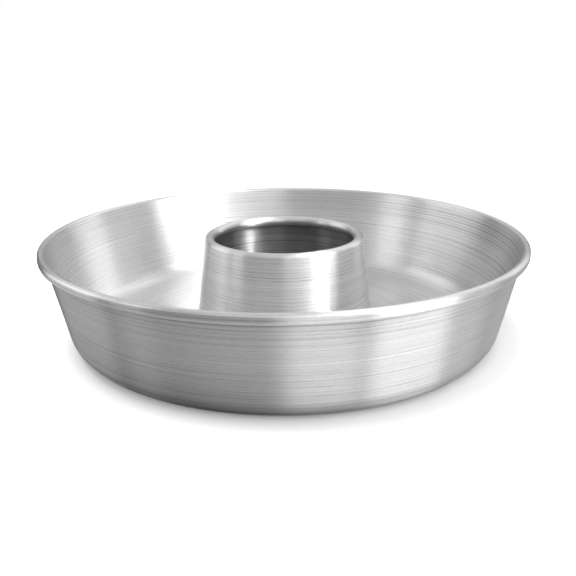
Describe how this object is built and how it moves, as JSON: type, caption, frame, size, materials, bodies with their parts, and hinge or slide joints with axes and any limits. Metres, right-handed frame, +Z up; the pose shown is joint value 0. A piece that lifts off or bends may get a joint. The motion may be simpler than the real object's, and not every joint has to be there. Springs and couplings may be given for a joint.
{
  "type": "ring cake pan",
  "caption": "Round spun-aluminium cake pan with tapered wall, rolled rim and a conical centre tube that is open at both ends, for ring-shaped cakes.",
  "frame": {"origin": "centre of the base, on the plane that the pan stands on", "axes": "+Z up, along the axis of the bowl and the centre cone; X and Y are free because the pan is round"},
  "size_m": [0.28, 0.28, 0.058],
  "materials": {
    "spun_aluminium": "spun, with fine rings from the tool, satin",
    "cone_aluminium": "spun, with fine rings from the tool, satin",
    "wire_steel": "drawn wire, bright"
  },
  "bodies": {
    "root": {"pan_shell": "spun_aluminium", "centre_cone": "cone_aluminium", "rim_wire": "wire_steel"}
  },
  "joints": []
}
